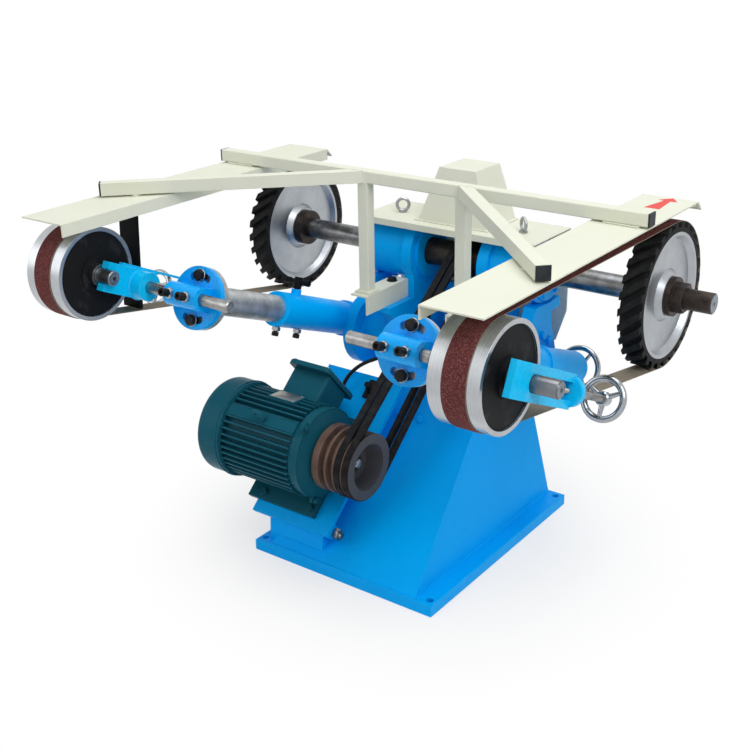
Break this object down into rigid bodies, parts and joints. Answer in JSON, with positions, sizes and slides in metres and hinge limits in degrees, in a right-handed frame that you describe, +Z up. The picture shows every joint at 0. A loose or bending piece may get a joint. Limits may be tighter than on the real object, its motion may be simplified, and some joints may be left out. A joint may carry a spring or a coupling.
{
  "type": "double belt sander",
  "caption": "Floor-standing belt sander: a motor-driven shaft turns serrated contact wheels, and abrasive belts run forward from them over idlers on adjustable arms under sheet guards.",
  "frame": {"origin": "on the floor, in the middle of the base plate's four bolt holes", "axes": "+X along the wheel shaft to the right as seen from the idlers, +Y to the back, +Z up"},
  "size_m": [1.418, 1.0829, 0.958],
  "materials": {
    "blue_enamel": "glossy sky-blue enamel",
    "cream_enamel": "satin cream enamel",
    "teal_enamel": "glossy dark teal enamel on ribbed iron",
    "bare_steel": "turned and ground steel, lightly oiled",
    "bolt_steel": "zinc-plated and blackened fasteners",
    "chrome_plate": "bright chrome",
    "aluminium": "turned aluminium",
    "black_tread": "moulded black rubber with slanted serrations",
    "black_rubber": "matt black rubber",
    "black_plastic": "moulded black plastic",
    "pulley_iron": "turned brown cast iron",
    "abrasive_cloth": "red-brown abrasive grain on cloth backing",
    "black_enamel": "black enamel"
  },
  "bodies": {
    "frame": {"base_plate": "blue_enamel", "pedestal": "blue_enamel", "motor_hinge_bracket": "blue_enamel", "motor_hinge_pin": "bare_steel", "saddle": "blue_enamel", "bearing_housings": "blue_enamel", "bearing_caps": "blue_enamel", "spindle_bearings": "bare_steel", "arm_brackets": "blue_enamel", "pulley_cover": "cream_enamel", "pulley_hood": "cream_enamel", "eye_bolts": "bolt_steel", "guard_crossbar": "cream_enamel", "guard_posts": "cream_enamel", "guard_arms": "cream_enamel", "tube_end_caps": "black_plastic", "frame_bolts": "bolt_steel", "left_belt_guard": "cream_enamel", "right_belt_guard": "cream_enamel", "left_abrasive_belt": "abrasive_cloth", "right_abrasive_belt": "abrasive_cloth", "v_belts": "black_rubber", "motor_cable": "black_rubber"},
    "spindle": {"main_shaft": "bare_steel", "contact_hubs": "aluminium", "contact_tyres": "black_tread", "driven_pulley": "pulley_iron", "spindle_collars": "bare_steel"},
    "motor": {"motor_plate": "blue_enamel", "motor_frame": "teal_enamel", "motor_end_shields": "teal_enamel", "fan_cowl": "teal_enamel", "terminal_box": "teal_enamel", "terminal_lid": "teal_enamel", "cable_gland": "black_plastic", "motor_bolts": "bolt_steel"},
    "rotor": {"motor_shaft": "bare_steel", "motor_pulley": "pulley_iron", "motor_fan": "black_plastic"},
    "left_arm": {"left_arm_tube": "bare_steel", "left_slotted_disc": "blue_enamel", "left_adjuster_bolts": "bolt_steel"},
    "left_yoke_frame": {"left_cross_rod": "bare_steel", "left_yoke": "blue_enamel", "spark_plate": "black_enamel"},
    "left_idler_axle": {"left_axle": "bare_steel"},
    "left_idler": {"left_idler_drum": "aluminium"},
    "left_tension_wheel": {"left_tension_handwheel": "chrome_plate"},
    "left_arm_wheel": {"left_arm_handwheel": "chrome_plate"},
    "left_clamp_handle": {"left_t_handle": "black_enamel"},
    "right_arm": {"right_arm_tube": "bare_steel", "right_slotted_disc": "blue_enamel", "right_adjuster_bolts": "bolt_steel"},
    "right_yoke_frame": {"right_cross_rod": "bare_steel", "right_yoke": "blue_enamel"},
    "right_idler_axle": {"right_axle": "bare_steel"},
    "right_idler": {"right_idler_drum": "aluminium"},
    "right_tension_wheel": {"right_tension_handwheel": "chrome_plate"},
    "right_arm_wheel": {"right_arm_handwheel": "chrome_plate"},
    "right_clamp_handle": {"right_t_handle": "black_enamel"}
  },
  "joints": [
    {"name": "spindle_spin", "type": "hinge", "parent": "frame", "child": "spindle", "pos_m": [0, 0.215, 0.705], "axis": [1, 0, 0], "continuous": true},
    {"name": "motor_plate_tilt", "type": "hinge", "parent": "frame", "child": "motor", "pos_m": [0, -0.29, 0.1], "axis": [1, 0, 0], "range_deg": [-3, 0], "deforming": ["v_belts", "motor_cable"]},
    {"name": "rotor_spin", "type": "hinge", "parent": "motor", "child": "rotor", "pos_m": [0, -0.26867, 0.30537], "axis": [1, 0, 0], "continuous": true},
    {"name": "left_arm_slide", "type": "slide", "parent": "frame", "child": "left_arm", "axis": [0, 0.9311, -0.3649], "range_m": [0, 0.04], "deforming": ["left_abrasive_belt"]},
    {"name": "left_arm_wheel_turn", "type": "hinge", "parent": "frame", "child": "left_arm_wheel", "pos_m": [-0.298, -0.447, 0.721], "axis": [0, 0.9311, -0.3649], "range_deg": [0, 2880]},
    {"name": "left_rod_slide", "type": "slide", "parent": "left_arm", "child": "left_yoke_frame", "axis": [-1, 0, 0], "range_m": [-0.008, 0.012]},
    {"name": "left_axle_slide", "type": "slide", "parent": "left_yoke_frame", "child": "left_idler_axle", "axis": [0, 0.9063, -0.4226], "range_m": [0, 0.004], "deforming": ["left_abrasive_belt"]},
    {"name": "left_tension_wheel_turn", "type": "hinge", "parent": "left_yoke_frame", "child": "left_tension_wheel", "pos_m": [-0.644, -0.579, 0.78], "axis": [0, 0.9063, -0.4226], "range_deg": [0, 720]},
    {"name": "left_idler_spin", "type": "hinge", "parent": "left_idler_axle", "child": "left_idler", "pos_m": [-0.552, -0.579, 0.78], "axis": [1, 0, 0], "continuous": true},
    {"name": "left_clamp_turn", "type": "hinge", "parent": "frame", "child": "left_clamp_handle", "pos_m": [-0.298, -0.12113, 0.59329], "axis": [0, 0.3649, 0.9311], "range_deg": [-90, 90]},
    {"name": "right_arm_slide", "type": "slide", "parent": "frame", "child": "right_arm", "axis": [0, 0.9311, -0.3649], "range_m": [0, 0.04], "deforming": ["right_abrasive_belt"]},
    {"name": "right_arm_wheel_turn", "type": "hinge", "parent": "frame", "child": "right_arm_wheel", "pos_m": [0.298, -0.447, 0.721], "axis": [0, 0.9311, -0.3649], "range_deg": [0, 2880]},
    {"name": "right_rod_slide", "type": "slide", "parent": "right_arm", "child": "right_yoke_frame", "axis": [1, 0, 0], "range_m": [-0.008, 0.012]},
    {"name": "right_axle_slide", "type": "slide", "parent": "right_yoke_frame", "child": "right_idler_axle", "axis": [0, 0.9063, -0.4226], "range_m": [0, 0.004], "deforming": ["right_abrasive_belt"]},
    {"name": "right_tension_wheel_turn", "type": "hinge", "parent": "right_yoke_frame", "child": "right_tension_wheel", "pos_m": [0.644, -0.579, 0.78], "axis": [0, 0.9063, -0.4226], "range_deg": [0, 720]},
    {"name": "right_idler_spin", "type": "hinge", "parent": "right_idler_axle", "child": "right_idler", "pos_m": [0.552, -0.579, 0.78], "axis": [1, 0, 0], "continuous": true},
    {"name": "right_clamp_turn", "type": "hinge", "parent": "frame", "child": "right_clamp_handle", "pos_m": [0.298, -0.12113, 0.59329], "axis": [0, 0.3649, 0.9311], "range_deg": [-90, 90]}
  ],
  "couplings": [
    {"joint": "rotor_spin", "follows": "spindle_spin", "ratio": 0.73809},
    {"joint": "left_arm_wheel_turn", "follows": "left_arm_slide", "rad_per_m": 1256.6},
    {"joint": "left_tension_wheel_turn", "follows": "left_axle_slide", "rad_per_m": 3141.6},
    {"joint": "left_idler_spin", "follows": "spindle_spin", "ratio": 1.5909},
    {"joint": "right_arm_wheel_turn", "follows": "right_arm_slide", "rad_per_m": 1256.6},
    {"joint": "right_tension_wheel_turn", "follows": "right_axle_slide", "rad_per_m": 3141.6},
    {"joint": "right_idler_spin", "follows": "spindle_spin", "ratio": 1.5909}
  ]
}
